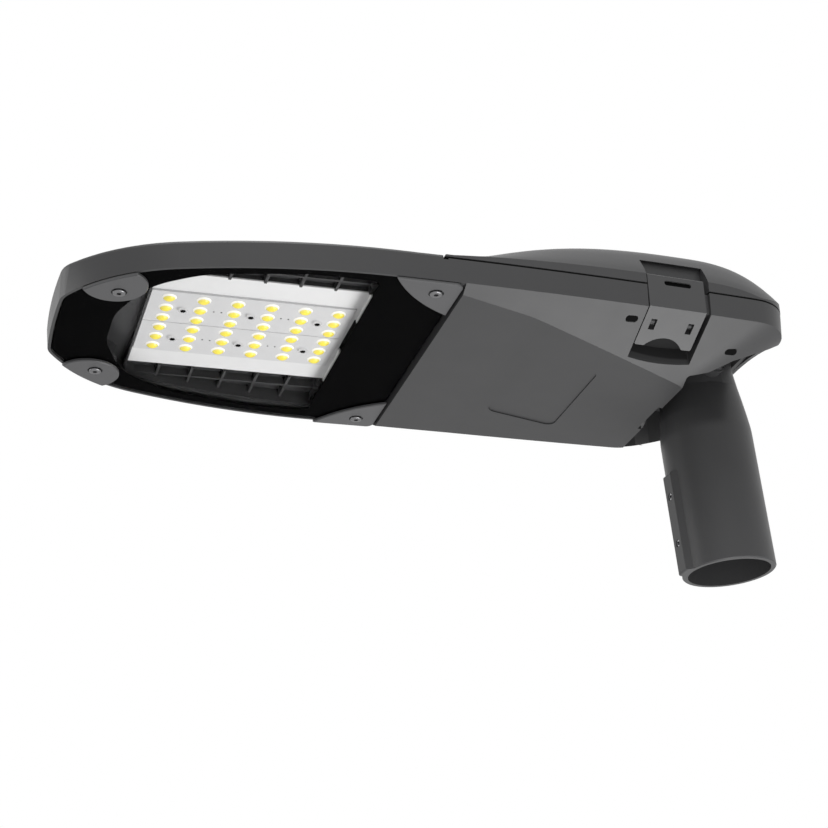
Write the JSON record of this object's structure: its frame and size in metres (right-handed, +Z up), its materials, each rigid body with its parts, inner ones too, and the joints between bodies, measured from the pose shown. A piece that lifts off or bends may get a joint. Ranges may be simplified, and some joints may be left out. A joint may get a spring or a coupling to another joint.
{
  "type": "road lantern",
  "caption": "Flat LED road lantern head with a domed gear cover, glass-covered light window and a tilting socket that slips over a pole top.",
  "frame": {"origin": "middle of the mouth of the pole socket", "axes": "+X from the nose to the pole end with the head level, +Y to the far side, +Z up; the socket's axis leans 3.7 degrees from Z in the XZ plane"},
  "size_m": [0.5402, 0.2458, 0.2183],
  "materials": {
    "body_paint": "satin dark graphite powder coat",
    "clamp_paint": "satin grey powder coat",
    "latch_paint": "satin graphite powder coat",
    "clear_glass": "flat tempered, clear",
    "black_print": "black ceramic print behind glass",
    "grey_rubber": "soft matte silicone",
    "bright_steel": "bright stainless",
    "white_paint": "matte white",
    "board_white": "white solder mask on aluminium",
    "led_ceramic": "pale ceramic",
    "led_phosphor": "yellow silicone dome",
    "galvanised": "galvanised sheet",
    "driver_case": "satin light grey",
    "gear_plastic": "matte grey",
    "terminal_plastic": "matte off-white",
    "black_plastic": "matte black",
    "brass_tab": "plain brass"
  },
  "bodies": {
    "spigot": {"spigot": "body_paint", "pole_set_screws": "bright_steel"},
    "housing": {"housing": "body_paint", "glass": "clear_glass", "glass_border": "black_print", "glass_gasket": "grey_rubber", "glass_clamp_front_near": "clamp_paint", "glass_clamp_front_far": "clamp_paint", "glass_clamp_rear_near": "clamp_paint", "glass_clamp_rear_far": "clamp_paint", "glass_clamp_screws": "bright_steel", "reflector_plate": "white_paint", "led_board_near": "board_white", "led_board_far": "board_white", "led_packages": "led_ceramic", "led_lenses": "led_phosphor", "board_screws": "bright_steel", "lid_hinge_pins": "bright_steel", "lid_gasket": "grey_rubber", "latch_pins": "bright_steel", "gear_tray": "galvanised", "driver": "driver_case", "surge_protector": "gear_plastic", "terminal_block": "terminal_plastic", "gear_screws": "bright_steel", "earth_terminal": "brass_tab", "cable_gland": "black_plastic", "cable_gland_nut": "black_plastic", "led_cable_grommet": "grey_rubber", "tilt_bolt": "bright_steel", "tilt_nut": "bright_steel", "tilt_washers": "bright_steel"},
    "lid": {"lid": "body_paint"},
    "latch_near": {"latch_near": "latch_paint"},
    "latch_far": {"latch_far": "latch_paint"}
  },
  "joints": [
    {"name": "spigot_tilt", "type": "hinge", "parent": "spigot", "child": "housing", "pos_m": [-0.01013, 0, 0.15667], "axis": [0, 1, 0], "range_deg": [-3.7, 11.3]},
    {"name": "lid_hinge", "type": "hinge", "parent": "housing", "child": "lid", "pos_m": [-0.25103, 0, 0.16987], "axis": [0, -1, 0], "range_deg": [0, 75]},
    {"name": "latch_near_hinge", "type": "hinge", "parent": "housing", "child": "latch_near", "pos_m": [-0.07814, -0.10261, 0.14833], "axis": [0.9983, 0.0585, 0], "range_deg": [0, 25]},
    {"name": "latch_far_hinge", "type": "hinge", "parent": "housing", "child": "latch_far", "pos_m": [-0.07814, 0.10261, 0.14833], "axis": [-0.9983, 0.0585, 0], "range_deg": [0, 25]}
  ]
}
